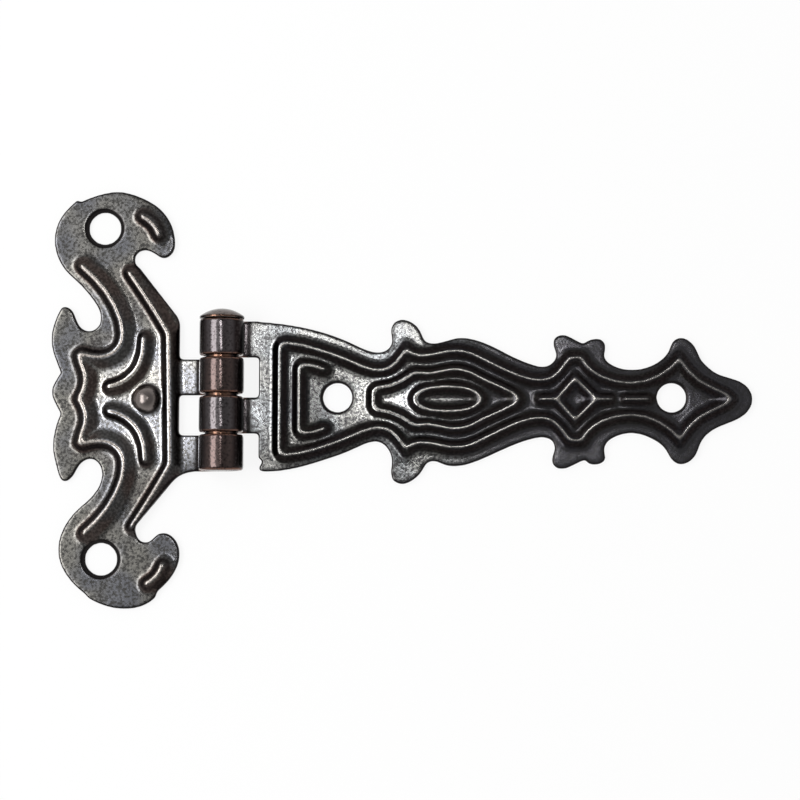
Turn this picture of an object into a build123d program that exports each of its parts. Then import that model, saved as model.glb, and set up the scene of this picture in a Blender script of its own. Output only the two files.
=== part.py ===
from build123d import *
import math
import os

# Driving dimensions, in millimetres
# X runs along the strap, Y across it and Z out of the decorated front
# The origin is midway between the plate's two screw holes, on the back face
SHEET = 0.9
RIB_RISE = 0.85
RIDGE_RISE = 1.0
CREST_HALF = 0.18
# The groove behind a rib is a little shallower, narrower and sharper than the rib
GROOVE_DEPTH_SHARE = 0.85
GROOVE_WIDTH_SHARE = 0.7
GROOVE_INSET = 0.35
GROOVE_CREST_HALF = 0.08
RELIEF_Y = -0.95
PLATE_LEAN = 0.022
# How far a raised form reaches into the sheet, and a hollow out of it
SINK = 0.2
# The longest piece of a curve, its greatest turn in degrees, and the bulge under which it is straight
STATION = 2.6
TURN = 15
STRAIGHT_BULGE = 0.004
CURVE_STEP = 0.1
SHORTEST_SIDE = 0.02

PLATE_EDGE_X = 11.5
PLATE_SCREWS = 49.7
PLATE_HOLE_R = 2.35
PLATE_RIM_R = 2.95
DISH_DEPTH = 0.45

STRAP_EDGE_X = 23.4
STRAP_SCREW_X = 35.2
STRAP_SCREWS = 49.7
STRAP_SCREW_Y = -0.7
STRAP_HOLE_R = 2.15
STRAP_RIM_R = 2.4
STRAP_DISH_DEPTH = 0.2

PIN_X = 18.1
BARREL_R = 3.35
KNUCKLE = 5.45
KNUCKLE_GAP = 0.25
BARREL_TOP_Y = 10.75
NECK_END = 0.8
CURL_END = 220
RUNNING = 0.05
# The pin's head is as wide as the barrel, so that the hinge's back stays flat
HEAD_R = BARREL_R
HEAD_GAP = 0.05
HEAD_RIM = 0.35
HEAD_RISE = 1.2

RIB_FOOT = 1.22
# A plate ridge is steep on its outer side and gentle on its inner side; the edge ridge is the reverse
WAVE_FOOT = (1.2, 2.0)
EDGE_FOOT = (1.1, 1.85)
HOOK_FOOT = (1.55, 1.35)
WING_FOOT = (1.7, 1.1)
DOME_R = 2.15
DOME_RISE = 1.35
DOME_X = 6.6
DOME_HOLLOW_R = 1.6
DOME_HOLLOW_RISE = 1.2

# Plate outline, anticlockwise; each run is a curve and the runs meet at corners
PLATE_OUTLINE = [
    [(PLATE_EDGE_X, 9.6), (11.35, 10.9), (10.7, 12.0)],
    [(10.7, 12.0), (5.3, 18.9)],
    [(5.3, 18.9), (4.6, 20.2), (5.1, 21.2), (6.4, 21.5), (7.7, 20.9), (8.9, 20.3), (10.3, 21.2),
     (10.6, 23.0), (10.1, 25.2), (8.3, 27.8), (5.5, 29.5), (2.2, 30.4), (-1.1, 29.9), (-3.7, 28.9)],
    [(-3.7, 28.9), (-4.2, 29.2)],
    [(-4.2, 29.2), (-5.7, 27.8), (-7.0, 25.9), (-7.6, 23.4), (-7.2, 20.8), (-5.9, 18.5), (-3.7, 16.4),
     (-1.8, 14.2), (-0.5, 11.7), (-0.7, 10.2), (-2.1, 9.3), (-3.5, 9.9), (-4.3, 11.4), (-5.0, 12.6),
     (-6.0, 13.0), (-7.0, 11.7), (-7.75, 9.4), (-7.8, 7.2), (-7.1, 4.8), (-6.4, 3.0)],
    [(-6.4, 3.0), (-7.2, 1.7), (-7.7, 0.4), (-7.3, -1.3), (-6.3, -3.1)],
    [(-6.3, -3.1), (-7.1, -5.4), (-7.4, -8.2), (-6.8, -11.2), (-5.6, -13.3), (-4.4, -12.5), (-3.4, -10.8),
     (-1.6, -9.9), (-0.3, -10.9), (0.0, -12.6), (-1.2, -15.2), (-3.9, -17.8), (-5.6, -20.2), (-6.4, -23.1),
     (-5.9, -25.8), (-4.4, -28.1), (-2.2, -30.1)],
    [(-2.2, -30.1), (-1.8, -30.6)],
    [(-1.8, -30.6), (0.3, -31.6), (3.9, -32.2), (6.4, -31.7), (8.2, -30.5)],
    [(8.2, -30.5), (8.5, -29.6)],
    [(8.5, -29.6), (10.3, -27.8), (11.6, -25.3), (11.7, -23.4), (10.8, -21.6), (9.2, -20.9), (8.1, -21.4),
     (7.0, -22.3), (5.9, -22.1), (5.2, -21.0), (5.4, -19.7)],
    [(5.4, -19.7), (10.6, -13.3)],
    [(10.6, -13.3), (11.9, -12.3), (13.5, -11.85)],
    [(13.5, -11.85), (13.5, -11.0)],
    [(13.5, -11.0), (PLATE_EDGE_X, -11.0)],
    [(PLATE_EDGE_X, -11.0), (PLATE_EDGE_X, 9.6)],
]

# Strap outline, clockwise from the top of its hinge edge
STRAP_OUTLINE = [
    [(STRAP_EDGE_X, 10.7), (26.5, 10.4), (32.2, 9.3), (37.6, 7.3), (40.3, 6.2), (42.0, 6.2), (43.0, 6.9),
     (43.3, 7.9), (43.15, 9.4), (43.7, 10.6), (44.8, 11.0), (46.4, 10.5), (47.6, 9.1), (48.4, 7.7), (49.4, 7.45),
     (53.2, 8.25), (55.4, 8.05), (57.6, 7.3), (61.2, 5.5), (64.4, 4.2), (66.0, 3.95),
     (67.1, 4.4), (67.8, 5.6), (67.4, 7.2), (67.6, 8.2), (68.7, 8.7), (70.4, 8.1), (71.9, 7.4)],
    [(71.9, 7.4), (73.4, 8.1), (74.5, 8.0), (75.1, 7.2), (75.0, 5.4), (76.5, 4.0), (78.5, 3.5), (80.4, 3.6),
     (82.0, 4.1), (83.7, 5.2), (84.6, 6.4), (85.2, 7.7), (86.2, 8.25), (87.6, 7.8), (88.6, 6.6), (89.2, 5.2),
     (90.4, 3.8), (91.8, 2.85), (95.1, 1.7), (96.4, 0.6), (96.9, -0.7), (96.5, -2.3), (95.2, -3.6), (91.8, -5.1),
     (90.0, -6.3), (89.1, -7.6), (88.5, -9.1), (87.5, -10.2), (86.0, -10.6), (84.8, -9.8), (83.9, -8.3),
     (82.3, -7.0), (80.4, -6.2), (78.6, -6.0), (76.6, -6.5), (75.3, -7.4), (74.9, -8.5), (75.0, -9.9),
     (73.9, -10.65), (72.1, -10.0)],
    [(72.1, -10.0), (70.6, -10.6), (68.9, -11.3), (67.7, -11.1), (67.1, -10.1), (67.5, -8.5), (67.2, -7.2),
     (65.9, -6.65), (64.2, -6.85), (61.5, -7.75), (56.3, -10.05), (53.4, -10.9), (51.2, -10.75), (49.6, -10.2),
     (48.7, -10.4), (47.9, -11.5), (46.6, -12.9), (44.9, -13.6), (43.5, -13.0), (43.2, -11.6), (43.3, -10.0),
     (42.6, -8.2), (41.4, -7.35), (40.0, -7.4), (37.6, -8.4), (33.0, -10.1), (29.6, -11.1), (24.3, -11.8)],
    [(24.3, -11.8), (23.5, -11.1), (23.9, -10.4), (STRAP_EDGE_X, -9.8)],
    [(STRAP_EDGE_X, -9.8), (STRAP_EDGE_X, 10.7)],
]

# Crest lines of the strap's ribs above its axis; each is mirrored below it
OUTER_CREST = [
    [(26.6, 0), (26.6, 7.7)],
    [(26.6, 7.7), (26.85, 8.2)],
    [(26.85, 8.2), (27.4, 8.4)],
    [(27.4, 8.4), (29.6, 8.1), (33.5, 7.0), (37.7, 5.4), (39.9, 4.5), (41.6, 4.3), (43.2, 4.8), (44.3, 5.8), (45.5, 7.4)],
    [(45.5, 7.4), (47.3, 6.5), (49.0, 6.55), (51.5, 7.1), (53.4, 7.2), (55.3, 6.75), (57.8, 5.5), (60.7, 4.1),
     (63.1, 3.15), (65.2, 2.8), (66.9, 3.1), (68.4, 4.3), (69.8, 6.15)],
    [(69.8, 6.15), (71.5, 6.15)],
    [(71.5, 6.15), (72.4, 4.8), (73.9, 3.6), (75.5, 2.9), (77.4, 2.45), (79.5, 2.4), (81.5, 2.8), (83.4, 3.7),
     (84.8, 4.7), (86.0, 6.0)],
    [(86.0, 6.0), (87.4, 4.1), (89.2, 2.5), (91.0, 1.6), (93.0, 0.65)],
    [(93.0, 0.65), (93.6, 0)],
]
INNER_CREST = [
    [(40.6, 0), (40.6, 1.15)],
    [(40.6, 1.15), (41.1, 1.65)],
    [(41.1, 1.65), (42.6, 1.85), (44.4, 2.5), (45.7, 3.3), (47.0, 3.95), (48.5, 3.75), (50.0, 4.0), (52.7, 4.45),
     (54.4, 4.2), (57.5, 2.65), (60.0, 1.6), (61.6, 0.75)],
    [(61.6, 0.75), (62.2, 0)],
]
OVAL_CREST = [
    [(46.7, 0), (46.8, 0.4)],
    [(46.8, 0.4), (47.6, 1.15), (49.2, 1.7), (51.6, 1.85), (53.8, 1.7), (55.5, 1.2), (56.5, 0.4)],
    [(56.5, 0.4), (56.6, 0)],
]
DIAMOND_CREST = [[(67.8, 0), (70.55, 3.1)], [(70.55, 3.1), (73.7, 0)]]
BRACKET = [
    [(29.5, 0), (29.5, 4.6)],
    [(29.5, 4.6), (30.0, 5.1)],
    [(30.0, 5.1), (31.5, 5.0), (33.3, 4.4)],
]
AXIS_BARS = [(65.4, 67.8), (73.7, 76.0), (77.9, 81.4)]

# Crest lines of the plate's ridges above its axis; each is mirrored below it
WAVE_CREST = [
    [(-3.45, 0), (-2.5, 3.5), (-3.1, 5.2)],
    [(-3.1, 5.2), (-3.45, 6.5)],
    [(-3.45, 6.5), (-3.0, 6.85)],
    [(-3.0, 6.85), (-0.9, 6.35), (1.5, 6.8), (2.9, 8.4), (3.1, 10.6), (2.2, 13.6), (0.4, 16.6), (-2.8, 19.9)],
]
EDGE_CREST = [
    [(10.0, 0), (10.0, 9.8)],
    [(10.0, 9.8), (8.9, 11.7), (4.3, 18.9)],
]
HOOK_CREST = [[(6.4, 27.5), (7.9, 26.4), (8.8, 24.7)]]
WING_CREST = [[(6.3, 9.1), (6.2, 7.2), (5.3, 4.6), (3.5, 2.8), (1.1, 1.9)]]


def stations(curve):
    """Places along a curve from 0 to 1, at most STATION and TURN apart, so closer where it is tight."""
    steps = math.ceil(curve.length / CURVE_STEP)
    tangents = [curve.tangent_at(i / steps) for i in range(steps + 1)]
    spent = [0]
    for before, after in zip(tangents, tangents[1:]):
        share = max(curve.length / steps / STATION, before.get_angle(after) / TURN)
        spent.append(spent[-1] + share)
    count = max(2, math.ceil(spent[-1]))
    reached = {next(i for i in range(steps) if spent[i + 1] >= spent[-1] * k / count) for k in range(1, count)}
    return [i / steps for i in sorted(reached | {0, steps})]


def curve_points(runs):
    """Points along the runs, at the ends of each line and at the stations of each curve."""
    points = [runs[0][0]]
    for run in runs:
        if len(run) == 2:
            points.append(run[1])
            continue
        curve = Spline(*run)
        points += [tuple(curve.position_at(place))[:2] for place in stations(curve)[1:]]
    return points


def side_points(points, distance, closed):
    """The line at a distance to the left of a run of points, mitred, with no piece turned back."""
    ends = list(zip(points, points[1:] + points[:1])) if closed else list(zip(points, points[1:]))
    lines = []
    for (x, y), (end_x, end_y) in ends:
        size = math.hypot(end_x - x, end_y - y)
        along = ((end_x - x) / size, (end_y - y) / size)
        lines.append(((x - along[1] * distance, y + along[0] * distance), along))
    keep = list(range(len(lines)))
    while True:
        corners = corner_points(lines, keep, closed, points, distance)
        turned = [k for k, (start, end) in zip(keep, corners) if runs_back(start, end, lines[k][1])]
        if not turned:
            break
        keep.remove(turned[0])
    result = []
    for i in range(len(points)):
        following = [k for k in range(len(keep)) if keep[k] >= i]
        if following:
            result.append(corners[following[0]][0])
        else:
            result.append(corners[0][0] if closed else corners[-1][1])
    return result


def runs_back(start, end, along):
    return (end[0] - start[0]) * along[0] + (end[1] - start[1]) * along[1] < SHORTEST_SIDE


def meeting(first, second):
    """The point where two lines meet; nearly parallel lines meet at the second's start."""
    (x, y), (dx, dy) = first
    (other_x, other_y), (other_dx, other_dy) = second
    cross = dx * other_dy - dy * other_dx
    if abs(cross) < 1e-4:
        return (other_x, other_y)
    t = ((other_x - x) * other_dy - (other_y - y) * other_dx) / cross
    return (x + t * dx, y + t * dy)


def corner_points(lines, keep, closed, points, distance):
    """Start and end of each kept side line."""
    result = []
    for n, k in enumerate(keep):
        before = keep[n - 1] if n > 0 or closed else None
        after = keep[(n + 1) % len(keep)] if n + 1 < len(keep) or closed else None
        (x, y), along = lines[k]
        last_x = points[-1][0] - along[1] * distance
        last_y = points[-1][1] + along[0] * distance
        start = (x, y) if before is None else meeting(lines[before], lines[k])
        end = (last_x, last_y) if after is None else meeting(lines[k], lines[after])
        result.append((start, end))
    return result


def end_points(tip, previous, left, right):
    """A rounded end around the tip, from the left side round to the right side."""
    heading = math.atan2(tip[1] - previous[1], tip[0] - previous[0])
    arc = []
    for step in (60, 20, -20, -60):
        angle = heading + math.radians(step)
        reach = (left + right) / 2 + (left - right) / 2 * step / 90
        arc.append((tip[0] + reach * math.cos(angle), tip[1] + reach * math.sin(angle)))
    return arc


def loops(points, left, right, closed):
    """The rib's boundary in plan: two loops when it is closed, otherwise one."""
    left_side = side_points(points, left, closed)
    right_side = side_points(points, -right, closed)
    if closed:
        return [left_side, right_side[::-1]]
    ahead = end_points(points[-1], points[-2], left, right)
    behind = end_points(points[0], points[1], right, left)
    return [left_side + ahead + right_side[::-1] + behind]


def distinct(corners):
    """Corners with the repeated ones left out."""
    result = []
    for corner in corners:
        if not result or (corner - result[-1]).length > 1e-5:
            result.append(corner)
    while len(result) > 1 and (result[0] - result[-1]).length < 1e-5:
        result.pop()
    return result


def flat_face(boundary, z):
    wires = [Wire.make_polygon(distinct([Vector(x, y, z) for x, y in loop])) for loop in boundary]
    wires.sort(key=lambda wire: -Face(wire).area)
    return Face(wires[0], wires[1:])


def side_faces(a, b, c, d):
    """The sloping face between two low and two high corners, as one plane or two triangles."""
    corners = distinct([a, b, c, d])
    if len(corners) < 3:
        return []
    if len(corners) == 3 or abs((b - a).cross(c - a).dot(d - a)) < 1e-7:
        return [Face(Wire.make_polygon(corners))]
    return [Face(Wire.make_polygon(three)) for three in ((a, b, c), (a, c, d))]


def ridge(points, low, high, z_low, z_high, closed):
    """A ridge with sloping sides; low and high are its left and right half widths."""
    bottom = loops(points, *low, closed)
    top = loops(points, *high, closed)
    faces = [flat_face(bottom, z_low), flat_face(top, z_high)]
    for low_loop, high_loop in zip(bottom, top):
        for i in range(len(low_loop)):
            j = (i + 1) % len(low_loop)
            a, b = Vector(*low_loop[i], z_low), Vector(*low_loop[j], z_low)
            c, d = Vector(*high_loop[j], z_high), Vector(*high_loop[i], z_high)
            faces += side_faces(a, b, c, d)
    return Solid(Shell(faces))


def relief(points, left, right, rise, closed=False):
    """One rib for the front and the matching groove for the back."""
    crest = (CREST_HALF, CREST_HALF)
    foot = [half + (half - CREST_HALF) * SINK / rise for half in (left, right)]
    rib = ridge(points, foot, crest, SHEET - SINK, SHEET + rise, closed)
    depth = rise * GROOVE_DEPTH_SHARE
    narrow = (GROOVE_CREST_HALF, GROOVE_CREST_HALF)
    wide = [(half - GROOVE_INSET) * GROOVE_WIDTH_SHARE * (1 + SINK / depth) for half in (left, right)]
    groove = ridge(points, wide, narrow, -SINK, depth, closed)
    return rib, groove


def place(points, mirrored=False, lean=0):
    """Moves points from the relief's own axis to the part, or to the mirror image."""
    sign = -1 if mirrored else 1
    return [(x - lean * sign * y, RELIEF_Y + sign * y) for x, y in points]


def mirrored_line(runs, closed, lean=0):
    """A half line that starts on the axis, joined with its mirror image."""
    half = curve_points(runs)
    other = place(half, True, lean)[::-1]
    if closed:
        return place(half, False, lean) + other[1:-1]
    return other[:-1] + place(half, False, lean)


def arc_edges(run):
    """A smooth run as a chain of short arcs, whose walls need few facets."""
    curve = Spline(*run)
    places = stations(curve)
    edges = []
    for low, high in zip(places, places[1:]):
        start, middle, end = (curve.position_at(place) for place in (low, (low + high) / 2, high))
        bulge = (middle - (start + end) / 2).length
        edges.append(Line(start, end) if bulge < STRAIGHT_BULGE else ThreePointArc(start, middle, end))
    return edges


def outline_face(runs):
    edges = []
    for run in runs:
        edges += [Line(*run)] if len(run) == 2 else arc_edges(run)
    return make_face(edges)


def roll_point(radius, degrees, towards):
    """A point of the rolled sheet, at an angle from the side away from its neck."""
    angle = math.radians(degrees)
    return (PIN_X - towards * radius * math.cos(angle), BARREL_R + radius * math.sin(angle))


def knuckle(top_y, towards):
    """One rolled knuckle with its neck; towards is -1 for the plate and 1 for the strap."""
    inner = BARREL_R - SHEET
    neck_x = PIN_X + towards * (BARREL_R + NECK_END)
    outer_end = roll_point(BARREL_R, CURL_END, towards)
    inner_end = roll_point(inner, CURL_END, towards)
    halfway = (CURL_END - 90) / 2
    section = Plane.XZ * make_face([
        Line((neck_x, 0), (PIN_X, 0)),
        ThreePointArc((PIN_X, 0), roll_point(BARREL_R, halfway, towards), outer_end),
        Line(outer_end, inner_end),
        ThreePointArc(inner_end, roll_point(inner, halfway, towards), (PIN_X, SHEET)),
        Line((PIN_X, SHEET), (neck_x, SHEET)),
        Line((neck_x, SHEET), (neck_x, 0)),
    ])
    return Pos(0, top_y, 0) * extrude(section, KNUCKLE)


def neck(top_y, edge_x):
    low, high = sorted((edge_x, PIN_X))
    return Pos((low + high) / 2, top_y - KNUCKLE / 2) * Rectangle(high - low, KNUCKLE)


def knuckle_tops(first):
    """Top edges of every second knuckle, counted from the barrel's top."""
    return [BARREL_TOP_Y - i * (KNUCKLE + KNUCKLE_GAP) for i in (first, first + 2)]


def pressed_sheet(outline, edge_x, first, raised):
    """The sheet with its raised forms, cut out along its outline with the necks of its knuckles."""
    plan = outline_face(outline)
    for top_y in knuckle_tops(first):
        plan += neck(top_y, edge_x)
    size = plan.bounding_box()
    blank = Pos(size.center().X, size.center().Y, SHEET / 2) * Box(2 * size.size.X, 2 * size.size.Y, SHEET)
    punch = Pos(0, 0, -SINK) * extrude(plan, SHEET + 2 * RIDGE_RISE)
    return (blank + raised) & punch


def screw_hole(x, y, bore_r, rim_r, depth):
    bore = Pos(x, y, SHEET / 2) * Cylinder(bore_r, 3 * SHEET)
    dish = Pos(x, y, SHEET - depth / 2) * Cone(bore_r, rim_r, depth)
    return bore + dish


def bore_cutter(radius):
    return Pos(PIN_X, 0, BARREL_R) * Rot(90, 0, 0) * Cylinder(radius, 4 * BARREL_TOP_Y)


def plate_relief():
    lines = []
    wave = mirrored_line(WAVE_CREST, False, PLATE_LEAN)
    lines.append(relief(wave, *WAVE_FOOT, RIDGE_RISE))
    edge = mirrored_line(EDGE_CREST, False, PLATE_LEAN)
    lines.append(relief(edge, *EDGE_FOOT, RIDGE_RISE))
    for mirrored in (False, True):
        hook = place(curve_points(HOOK_CREST), mirrored, PLATE_LEAN)
        sides = HOOK_FOOT[::-1] if mirrored else HOOK_FOOT
        lines.append(relief(hook, *sides, RIDGE_RISE))
        wing = place(curve_points(WING_CREST), mirrored, PLATE_LEAN)
        sides = WING_FOOT[::-1] if mirrored else WING_FOOT
        lines.append(relief(wing, *sides, RIDGE_RISE))
    return lines


def strap_relief():
    lines = []
    for runs in (OUTER_CREST, INNER_CREST, OVAL_CREST, DIAMOND_CREST):
        lines.append(relief(mirrored_line(runs, True), RIB_FOOT, RIB_FOOT, RIB_RISE, True))
    lines.append(relief(mirrored_line(BRACKET, False), RIB_FOOT, RIB_FOOT, RIB_RISE))
    for start, end in AXIS_BARS:
        lines.append(relief(place([(start, 0), (end, 0)]), RIB_FOOT, RIB_FOOT, RIB_RISE))
    return lines


def dome(radius, rise, base_z):
    """A spherical cap for the plate's central boss."""
    ball_r = (radius ** 2 + rise ** 2) / (2 * rise)
    ball = Pos(DOME_X, RELIEF_Y, base_z + rise - ball_r) * Sphere(ball_r)
    keep = Pos(DOME_X, RELIEF_Y, base_z + rise) * Box(3 * radius, 3 * radius, 2 * rise + 2 * SINK)
    return ball & keep


def plate_leaf():
    ribs, grooves = zip(*plate_relief())
    leaf = pressed_sheet(PLATE_OUTLINE, PLATE_EDGE_X, 1, list(ribs)) + dome(DOME_R, DOME_RISE, SHEET)
    leaf = leaf + [knuckle(top_y, -1) for top_y in knuckle_tops(1)]
    leaf = leaf - list(grooves) - dome(DOME_HOLLOW_R, DOME_HOLLOW_RISE, 0)
    holes = [screw_hole(0, side * PLATE_SCREWS / 2, PLATE_HOLE_R, PLATE_RIM_R, DISH_DEPTH) for side in (-1, 1)]
    return leaf - holes


def strap_leaf():
    ribs, grooves = zip(*strap_relief())
    leaf = pressed_sheet(STRAP_OUTLINE, STRAP_EDGE_X, 0, list(ribs))
    leaf = leaf + [knuckle(top_y, 1) for top_y in knuckle_tops(0)]
    leaf = leaf - list(grooves)
    holes = []
    for x in (STRAP_SCREW_X, STRAP_SCREW_X + STRAP_SCREWS):
        holes.append(screw_hole(x, STRAP_SCREW_Y, STRAP_HOLE_R, STRAP_RIM_R, STRAP_DISH_DEPTH))
    return leaf - holes - bore_cutter(BARREL_R - SHEET + RUNNING)


def hinge_pin():
    """The pin's shank, its rim and its domed head, turned about one axis."""
    shank = BARREL_R - SHEET
    length = 4 * KNUCKLE + 3 * KNUCKLE_GAP
    shaft = Pos(0, 0, -length / 2) * Cylinder(shank, length)
    rim = Pos(0, 0, HEAD_GAP + HEAD_RIM / 2) * Cylinder(HEAD_R, HEAD_RIM)
    neck_disc = Cylinder(shank, 4 * HEAD_GAP)
    ball_r = (HEAD_R ** 2 + HEAD_RISE ** 2) / (2 * HEAD_RISE)
    crown = HEAD_GAP + HEAD_RIM + HEAD_RISE
    cap = Pos(0, 0, crown - ball_r) * Sphere(ball_r)
    cap &= Pos(0, 0, crown) * Box(3 * HEAD_R, 3 * HEAD_R, 2 * HEAD_RISE)
    return Pos(PIN_X, BARREL_TOP_Y, BARREL_R) * Rot(-90, 0, 0) * (shaft + neck_disc + rim + cap)


os.makedirs("parts", exist_ok=True)
for name, shape in (("plate_leaf", plate_leaf()), ("strap_leaf", strap_leaf()), ("hinge_pin", hinge_pin())):
    shape.label = name
    export_step(shape, f"parts/{name}.step")
    print(name, shape.is_valid, len(shape.solids()), len(shape.faces()), round(shape.volume, 1), shape.bounding_box())
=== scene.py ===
import math

import bmesh
import bpy
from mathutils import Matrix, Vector


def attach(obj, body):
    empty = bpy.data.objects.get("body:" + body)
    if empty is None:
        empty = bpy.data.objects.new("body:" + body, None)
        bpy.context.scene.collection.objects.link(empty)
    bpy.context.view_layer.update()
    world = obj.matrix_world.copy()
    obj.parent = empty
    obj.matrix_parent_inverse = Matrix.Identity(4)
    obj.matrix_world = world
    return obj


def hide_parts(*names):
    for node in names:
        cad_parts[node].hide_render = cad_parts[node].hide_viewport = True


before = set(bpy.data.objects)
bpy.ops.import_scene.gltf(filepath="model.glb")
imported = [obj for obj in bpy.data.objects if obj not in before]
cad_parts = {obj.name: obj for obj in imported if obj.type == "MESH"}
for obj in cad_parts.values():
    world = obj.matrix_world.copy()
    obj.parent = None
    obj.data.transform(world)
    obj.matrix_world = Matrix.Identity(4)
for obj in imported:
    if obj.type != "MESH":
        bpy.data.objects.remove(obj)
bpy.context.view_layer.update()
bpy.context.scene.view_settings.view_transform = "Standard"


# The plate leaf
# A stamping of thin steel: the scrolls are cut out, the ridges and the boss are pressed up from
# behind, and two knuckles are rolled round the pin. The press leaves every edge a little round.
SHEET = 0.0009
CREST_Z = 0.0016
PIN_X = 0.0181
BARREL_R = 0.00335
BOSS = (0.0066, -0.00095, 0.0015)
BOSS_R = 0.0021
ROUND_BOSS = (0.008, -0.001, 0.001)
LEAF_FACET = 0.000215
LEAF_ROUNDS = 5
RELIEF_ROUNDS = 5


def merged_copy(name, node):
    """A new piece with a node's own shape, its loose triangles joined."""
    mesh = bpy.data.meshes.new(name)
    shape = bmesh.new()
    shape.from_mesh(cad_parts[node].data)
    same_place = 1e-6
    bmesh.ops.remove_doubles(shape, verts=shape.verts, dist=same_place)
    shape.to_mesh(mesh)
    shape.free()
    piece = bpy.data.objects.new(name, mesh)
    bpy.context.scene.collection.objects.link(piece)
    return piece


def evenly_meshed(piece, facet):
    """Gives the piece small facets of one size, so that it can be rounded."""
    fine = piece.modifiers.new("fine", "REMESH")
    fine.mode = "VOXEL"
    fine.voxel_size = facet
    fine.use_smooth_shade = True
    bpy.context.view_layer.update()
    remeshed = piece.evaluated_get(bpy.context.evaluated_depsgraph_get())
    even = bpy.data.meshes.new_from_object(remeshed)
    piece.modifiers.clear()
    piece.data = even


def eased(shape, verts, rounds):
    """Rounds a shape off a little more with each round."""
    for _ in range(rounds):
        bmesh.ops.smooth_vert(
            shape, verts=verts, factor=0.5, use_axis_x=True, use_axis_y=True, use_axis_z=True
        )


def softened(name, node, body, facet, edge_rounds, relief_rounds):
    """A copy of a piece with its edges rounded as a press rounds them, and its raised relief more so."""
    piece = merged_copy(name, node)
    evenly_meshed(piece, facet)
    shape = bmesh.new()
    shape.from_mesh(piece.data)
    eased(shape, shape.verts, edge_rounds)
    foot_of_relief = SHEET + 0.00004
    raised = [v for v in shape.verts if v.co.z > foot_of_relief]
    eased(shape, raised, relief_rounds)
    shape.to_mesh(piece.data)
    shape.free()
    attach(piece, body)
    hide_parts(node)
    return piece


def grey(level):
    return (level, level, level, 1)


def joined(tree, socket, value):
    """Sets a socket to a plain value, or wires another node's output to it."""
    if isinstance(value, (float, tuple)):
        socket.default_value = value
    else:
        tree.links.new(value, socket)


def worked_out(tree, operation, *values):
    node = tree.nodes.new("ShaderNodeMath")
    node.operation = operation
    for socket, value in zip(node.inputs, values):
        joined(tree, socket, value)
    return node.outputs["Value"]


def ramp_between(tree, value, low, high):
    """0 where the value is at low or beyond it, 1 at high."""
    node = tree.nodes.new("ShaderNodeMapRange")
    node.interpolation_type = "SMOOTHSTEP"
    node.inputs["From Min"].default_value = low
    node.inputs["From Max"].default_value = high
    joined(tree, node.inputs["Value"], value)
    return node.outputs["Result"]


def shared_out(tree, share, at_none, at_full):
    """A value that goes evenly from at_none to at_full as the share grows from 0 to 1."""
    node = tree.nodes.new("ShaderNodeMapRange")
    node.inputs["To Min"].default_value = at_none
    node.inputs["To Max"].default_value = at_full
    joined(tree, node.inputs["Value"], share)
    return node.outputs["Result"]


def colour_mix(tree, share, first, second, way="MIX"):
    """The first colour at share 0. At share 1 the second, or in way MULTIPLY the two multiplied."""
    node = tree.nodes.new("ShaderNodeMix")
    node.data_type = "RGBA"
    node.blend_type = way
    colour_a, colour_b = node.inputs[6], node.inputs[7]
    joined(tree, node.inputs["Factor"], share)
    joined(tree, colour_a, first)
    joined(tree, colour_b, second)
    return node.outputs[2]


def grain_of(tree, place, size, detail):
    node = tree.nodes.new("ShaderNodeTexNoise")
    node.inputs["Scale"].default_value = 1 / size
    node.inputs["Detail"].default_value = detail
    joined(tree, node.inputs["Vector"], place)
    return node.outputs["Fac"]


def distance_from(tree, place, spot):
    node = tree.nodes.new("ShaderNodeVectorMath")
    node.operation = "DISTANCE"
    joined(tree, node.inputs[0], place)
    joined(tree, node.inputs[1], spot)
    return node.outputs["Value"]


def bumped(tree, height, depth, strength):
    node = tree.nodes.new("ShaderNodeBump")
    node.inputs["Strength"].default_value = strength
    node.inputs["Distance"].default_value = depth
    joined(tree, node.inputs["Height"], height)
    return node


def worn_in(tree, reach):
    """1 on open surfaces and lower in recesses, where rubbing can't reach."""
    node = tree.nodes.new("ShaderNodeAmbientOcclusion")
    node.samples = 8
    node.inputs["Distance"].default_value = reach
    return ramp_between(tree, node.outputs["AO"], low=0.78, high=1.0)


def surface_of(tree):
    """What the finish goes by: the place on the hinge, the way the metal faces, and its grain."""
    here = tree.nodes.new("ShaderNodeTexCoord")
    place = here.outputs["Object"]
    at = tree.nodes.new("ShaderNodeSeparateXYZ")
    joined(tree, at.inputs["Vector"], place)
    facing = tree.nodes.new("ShaderNodeSeparateXYZ")
    joined(tree, facing.inputs["Vector"], here.outputs["Normal"])
    beside_pin = worked_out(tree, "SUBTRACT", at.outputs["X"], PIN_X)
    return {
        "place": place,
        "along": at.outputs["X"],
        "height": at.outputs["Z"],
        "from_pin": worked_out(tree, "ABSOLUTE", beside_pin),
        "faces_up": facing.outputs["Z"],
        "faces_endways": worked_out(tree, "ABSOLUTE", facing.outputs["Y"]),
        "speckle": grain_of(tree, place, size=0.00035, detail=4.0),
        "patches": ramp_between(tree, grain_of(tree, place, size=0.008, detail=2.0), low=0.4, high=0.62),
    }


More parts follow.
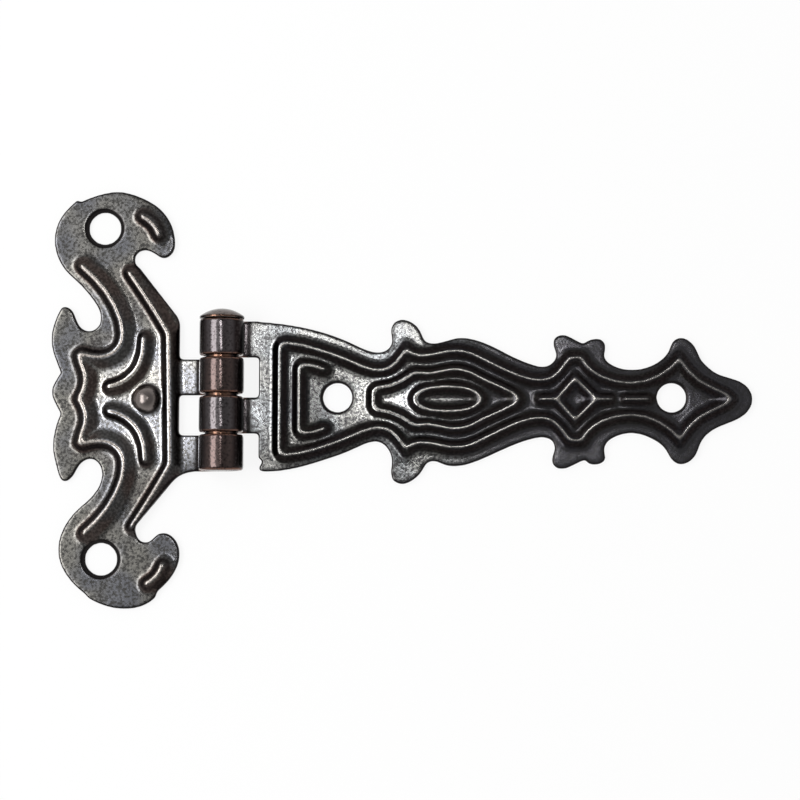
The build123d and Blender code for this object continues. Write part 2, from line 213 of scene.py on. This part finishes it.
def flat_colour(tree, surface, tints, painted_light_and_shade_spots):
    """The level sheet: two greys in patches over dark specks, darker and bluer towards the far end as
    painted shade, and brighter or duller in spots.

    Each spot is a painted pool of light, or with a gain below 1 painted shade: it has its middle, the
    radius where it is full, the radius where that ends, and a gain.
    """
    far_end_shade_grey = (0.085, 0.083, 0.092, 1)
    tint = colour_mix(tree, surface["patches"], tints[0], tints[1])
    # Painted shade: the sheet is darker and bluer towards the strap's far end.
    far_end_shade = ramp_between(tree, surface["along"], low=0.046, high=0.06)
    tint = colour_mix(tree, far_end_shade, tint, far_end_shade_grey)
    unspecked = ramp_between(tree, surface["speckle"], low=0.36, high=0.58)
    flat = colour_mix(tree, unspecked, tints[2], tint)
    # Painted pools of light and painted shade, spot by spot.
    for spot, inner, outer, gain in painted_light_and_shade_spots:
        close = ramp_between(tree, distance_from(tree, surface["place"], spot), low=outer, high=inner)
        flat = colour_mix(tree, close, flat, grey(gain), "MULTIPLY")
    return flat


def flank_colour(tree, surface, tints):
    """The sides of the ridges: dark patina, painted black as shade where they are steep."""
    steep_painted_shade = (0.009, 0.007, 0.007, 1)
    light_specks = grey(1.9)
    flank = colour_mix(tree, surface["patches"], tints[0], tints[1])
    # Painted shade: the steep sides are black, the gentle ones keep the flank tint.
    gentle = ramp_between(tree, surface["faces_up"], low=0.78, high=0.92)
    side = colour_mix(tree, gentle, steep_painted_shade, flank)
    mottle = ramp_between(tree, surface["speckle"], low=0.42, high=0.62)
    return colour_mix(tree, mottle, side, light_specks, "MULTIPLY")


def crested(tree, surface, colour, crest_highlight_colour):
    """The same colour with a light line along the crests: the metal rubbed there, and a painted highlight.
    """
    dull_crest = (0.2, 0.187, 0.175, 1)
    # Painted highlight: the level tops of the crests are coloured light, as rubbed metal and as the glint
    # along them.
    level_top = ramp_between(tree, surface["faces_up"], low=0.965, high=0.997)
    high_up = ramp_between(tree, surface["height"], low=CREST_Z - 0.00025, high=CREST_Z)
    crest = worked_out(tree, "MULTIPLY", level_top, high_up)
    rubbed_grain = ramp_between(tree, surface["speckle"], low=0.3, high=0.6)
    painted_crest_line = colour_mix(tree, rubbed_grain, dull_crest, crest_highlight_colour)
    return colour_mix(tree, crest, colour, painted_crest_line)


def rolled_barrel(tree, surface, rolled_colour, rim_colour):
    """The knuckles, rubbed lighter on top by handling and painted dark down their sides as shade, with
    copper showing at their ends.
    """
    painted_barrel_shade = (0.011, 0.008, 0.008, 1)
    barrel_speck = (0.03, 0.025, 0.025, 1)
    # Painted shade: the knuckles' sides are dark, their tops lighter.
    rubbed_top_shaded_sides = ramp_between(tree, surface["faces_up"], low=0.7, high=0.98)
    rolled = colour_mix(tree, rubbed_top_shaded_sides, painted_barrel_shade, rolled_colour)
    rim = ramp_between(tree, surface["faces_endways"], low=0.15, high=0.5)
    rolled = colour_mix(tree, rim, rolled, rim_colour)
    unspecked = ramp_between(tree, surface["speckle"], low=0.25, high=0.55)
    return colour_mix(tree, unspecked, barrel_speck, rolled)


def with_painted_edge_shade(tree, surface, colour):
    """The same colour with the cut edges and the seam beside the barrel painted black as shade, and the
    back plain.
    """
    painted_shade_black = (0.02, 0.018, 0.018, 1)
    back_dark = (0.09, 0.085, 0.085, 1)
    back_light = (0.17, 0.165, 0.165, 1)
    # Painted shade on the cut edges of the sheet.
    cut_edge = ramp_between(tree, surface["height"], low=SHEET - 0.000005, high=SHEET - 0.00005)
    colour = colour_mix(tree, cut_edge, colour, painted_shade_black)
    back = ramp_between(tree, surface["faces_up"], low=-0.6, high=-0.9)
    colour = colour_mix(tree, back, colour, colour_mix(tree, surface["speckle"], back_dark, back_light))
    # Painted shadow in the seam beside the barrel.
    seam = ramp_between(tree, surface["from_pin"], low=BARREL_R + 0.0012, high=BARREL_R + 0.0005)
    return colour_mix(tree, seam, colour, painted_shade_black)


def antiqued_steel(name, flat_tints, flank_tints, crest_highlight_colour, rolled_colour, rim_colour, painted_light_and_shade_spots):
    """Blackened steel, rubbed grey on its flats and bright on its crests, coppery on the barrel, with
    painted highlights and painted shade.
    """
    material = bpy.data.materials.new(name)
    material.use_nodes = True
    tree = material.node_tree
    shader = tree.nodes["Principled BSDF"]
    shader.inputs["Metallic"].default_value = 1.0
    surface = surface_of(tree)

    # Flats take the flat colour; the ridges' sides take the darker flank colour, which is patina and
    # painted shade.
    level = ramp_between(tree, surface["faces_up"], low=0.9, high=0.98)
    flat_share = worked_out(tree, "MULTIPLY", level, worn_in(tree, reach=0.0014))
    flank = flank_colour(tree, surface, flank_tints)
    flat = flat_colour(tree, surface, flat_tints, painted_light_and_shade_spots)
    colour = colour_mix(tree, flat_share, flank, flat)
    colour = crested(tree, surface, colour, crest_highlight_colour)
    # The boss is a lighter grey: rubbed metal and a painted highlight.
    rubbed_and_lit_boss_grey = (0.2, 0.175, 0.165, 1)
    from_boss = distance_from(tree, surface["place"], BOSS)
    boss = ramp_between(tree, from_boss, low=BOSS_R, high=BOSS_R - 0.0004)
    colour = colour_mix(tree, boss, colour, rubbed_and_lit_boss_grey)
    colour = with_painted_edge_shade(tree, surface, colour)
    barrel = ramp_between(tree, surface["from_pin"], low=BARREL_R + 0.0003, high=BARREL_R)
    rolled = rolled_barrel(tree, surface, rolled_colour, rim_colour)
    joined(tree, shader.inputs["Base Color"], colour_mix(tree, barrel, colour, rolled))

    rough = shared_out(tree, surface["speckle"], at_none=0.12, at_full=0.33)
    smoother = shared_out(tree, barrel, at_none=1.0, at_full=0.7)
    joined(tree, shader.inputs["Roughness"], worked_out(tree, "MULTIPLY", rough, smoother))
    waves = grain_of(tree, surface["place"], size=0.005, detail=1.0)
    wavy = bumped(tree, waves, depth=0.00015, strength=1.0)
    pitted = bumped(tree, surface["speckle"], depth=0.000025, strength=0.6)
    joined(tree, pitted.inputs["Normal"], wavy.outputs["Normal"])
    joined(tree, shader.inputs["Normal"], pitted.outputs["Normal"])
    return material


plate = softened("plate", "plate_leaf", "plate", LEAF_FACET, LEAF_ROUNDS, RELIEF_ROUNDS)
plate.data.materials.append(antiqued_steel(
    "antiqued plate steel",
    flat_tints=[(0.2, 0.194, 0.178, 1), (0.145, 0.148, 0.162, 1), (0.07, 0.068, 0.065, 1)],
    flank_tints=[(0.062, 0.048, 0.043, 1), (0.06, 0.059, 0.058, 1)],
    crest_highlight_colour=(0.4, 0.36, 0.33, 1),
    rolled_colour=(0.105, 0.078, 0.073, 1),
    rim_colour=(0.15, 0.08, 0.058, 1),
    # A painted pool of light on the flats round the boss.
    painted_light_and_shade_spots=[(ROUND_BOSS, 0.007, 0.0125, 4.6)],
))


# The strap leaf
# The long stamping that the lid or door hangs by. Its contour ribs are pressed like the plate's
# ridges, and its own two knuckles take turns with the plate's round the pin.
BESIDE_OVAL = (0.0435, -0.001, 0.001)
BESIDE_BARREL = (0.0245, 0.003, 0.001)
LEFT_OF_HOLE = (0.031, -0.001, 0.001)
LOWER_BORDER = (0.038, -0.0125, 0.001)

strap = softened("strap", "strap_leaf", "strap", LEAF_FACET, LEAF_ROUNDS, RELIEF_ROUNDS)
strap.data.materials.append(antiqued_steel(
    "antiqued strap steel",
    flat_tints=[(0.28, 0.277, 0.265, 1), (0.255, 0.265, 0.272, 1), (0.085, 0.083, 0.085, 1)],
    flank_tints=[(0.018, 0.017, 0.016, 1), (0.016, 0.015, 0.017, 1)],
    crest_highlight_colour=(0.34, 0.325, 0.31, 1),
    rolled_colour=(0.122, 0.11, 0.114, 1),
    rim_colour=(0.14, 0.078, 0.058, 1),
    # Painted pools of light beside the oval and the barrel, and painted shade left of the hole and on the
    # lower border.
    painted_light_and_shade_spots=[
        (BESIDE_OVAL, 0.003, 0.0065, 3.1),
        (BESIDE_BARREL, 0.006, 0.012, 1.5),
        (LEFT_OF_HOLE, 0.0025, 0.006, 0.4),
        (LOWER_BORDER, 0.004, 0.011, 0.6),
    ],
))


# The pin
# A steel rod with a low domed head, blackened with the leaves after it is driven in, so it has
# their colour on its head and bare copper plate where it shows between the knuckles. Its facets
# are finer than the leaves', to keep the corner under its head out of the strap's top knuckle.
PIN_FACET = 0.00012
PIN_ROUNDS = 4
HEAD_BROWN = (0.14, 0.12, 0.115, 1)

pin = softened("pin", "hinge_pin", "plate", PIN_FACET, PIN_ROUNDS, 0)
pin.data.materials.append(antiqued_steel(
    "antiqued pin steel",
    flat_tints=[HEAD_BROWN, HEAD_BROWN, (0.06, 0.055, 0.055, 1)],
    flank_tints=[HEAD_BROWN, HEAD_BROWN],
    crest_highlight_colour=(0.2, 0.18, 0.17, 1),
    rolled_colour=(0.2, 0.11, 0.075, 1),
    rim_colour=(0.15, 0.125, 0.115, 1),
    painted_light_and_shade_spots=[],
))


# The ground
# A sheet of white paper that the hinge lies on, large enough to fill every view. Seen straight or
# in the metal it mostly glows, so that it stays white, and the rest of it takes the hinge's shadow.
PAPER_HALF = 3.0
UNDER_HINGE = -0.00005
PAPER_WHITE = 0.95
PAPER_ROUGHNESS = 0.9
GLOW_SHARE = 0.87

floor_mesh = bpy.data.meshes.new("floor")
ground = bmesh.new()
bmesh.ops.create_grid(ground, x_segments=1, y_segments=1, size=PAPER_HALF)
bmesh.ops.translate(ground, vec=(0, 0, UNDER_HINGE), verts=ground.verts)
ground.to_mesh(floor_mesh)
ground.free()
floor = bpy.data.objects.new("floor", floor_mesh)
bpy.context.scene.collection.objects.link(floor)

paper = bpy.data.materials.new("paper")
paper.use_nodes = True
paper_tree = paper.node_tree
matt = paper_tree.nodes["Principled BSDF"]
matt.inputs["Base Color"].default_value = grey(PAPER_WHITE)
matt.inputs["Roughness"].default_value = PAPER_ROUGHNESS
glow = paper_tree.nodes.new("ShaderNodeEmission")
ray = paper_tree.nodes.new("ShaderNodeLightPath")
mirrored = worked_out(
    paper_tree, "MAXIMUM", ray.outputs["Is Glossy Ray"], ray.outputs["Is Transmission Ray"]
)
seen = worked_out(paper_tree, "MAXIMUM", ray.outputs["Is Camera Ray"], mirrored)
blend = paper_tree.nodes.new("ShaderNodeMixShader")
joined(paper_tree, blend.inputs["Fac"], worked_out(paper_tree, "MULTIPLY", seen, GLOW_SHARE))
joined(paper_tree, blend.inputs[1], matt.outputs["BSDF"])
joined(paper_tree, blend.inputs[2], glow.outputs["Emission"])
joined(paper_tree, paper_tree.nodes["Material Output"].inputs["Surface"], blend.outputs["Shader"])
floor.data.materials.append(paper)


# The light
# A dim room, lighter towards the horizon. A tall window to the left of the hinge and a small lamp
# almost overhead make the two bright strips down the barrel, and a pale wall shows between them.
ROOM_HORIZON = 1.0
ROOM_OVERHEAD = 0.26
ROOM_BETWEEN = [(0.45, 0.72), (0.8, 0.33)]
LIGHTS_AWAY = 0.5

world = bpy.data.worlds.new("room")
world.use_nodes = True
room = world.node_tree
way = room.nodes.new("ShaderNodeTexCoord")
up = room.nodes.new("ShaderNodeSeparateXYZ")
joined(room, up.inputs["Vector"], way.outputs["Generated"])
sky = room.nodes.new("ShaderNodeValToRGB")
stops = sky.color_ramp.elements
stops[0].color = grey(ROOM_HORIZON)
stops[1].color = grey(ROOM_OVERHEAD)
for height, level in ROOM_BETWEEN:
    stops.new(height).color = grey(level)
joined(room, sky.inputs["Fac"], up.outputs["Z"])
joined(room, room.nodes["Background"].inputs["Color"], sky.outputs["Color"])
bpy.context.scene.world = world


def softbox(name, lean, across, width, length, brightness):
    """A soft box that points at the barrel, leaning from straight above by an angle to the right."""
    light = bpy.data.lights.new(name, "AREA")
    light.shape = "RECTANGLE"
    light.size = width
    light.size_y = length
    light.energy = brightness * math.pi * width * length
    lamp = bpy.data.objects.new(name, light)
    turn = math.radians(lean)
    away = Vector((math.sin(turn), 0, math.cos(turn)))
    lamp.location = Vector((PIN_X, across, 0)) + away * LIGHTS_AWAY
    lamp.rotation_euler = (0, turn, 0)
    bpy.context.scene.collection.objects.link(lamp)


softbox("window", lean=-36, across=0.03, width=0.22, length=0.5, brightness=4.7)
softbox("wall", lean=-16, across=0.05, width=0.18, length=0.4, brightness=0.65)
softbox("lamp", lean=2, across=0.078, width=0.052, length=0.07, brightness=14.0)


# The camera
# Nearly straight above the middle of the hinge, turned a little towards the right and the bottom.
camera_data = bpy.data.cameras.new("camera")
camera_data.lens = 94.1
camera = bpy.data.objects.new("camera", camera_data)
camera.location = (0.0526, -0.0247, 0.3116)
leans = (4.35, 1.48, 0.13)
camera.rotation_euler = [math.radians(lean) for lean in leans]
bpy.context.scene.collection.objects.link(camera)
bpy.context.scene.camera = camera
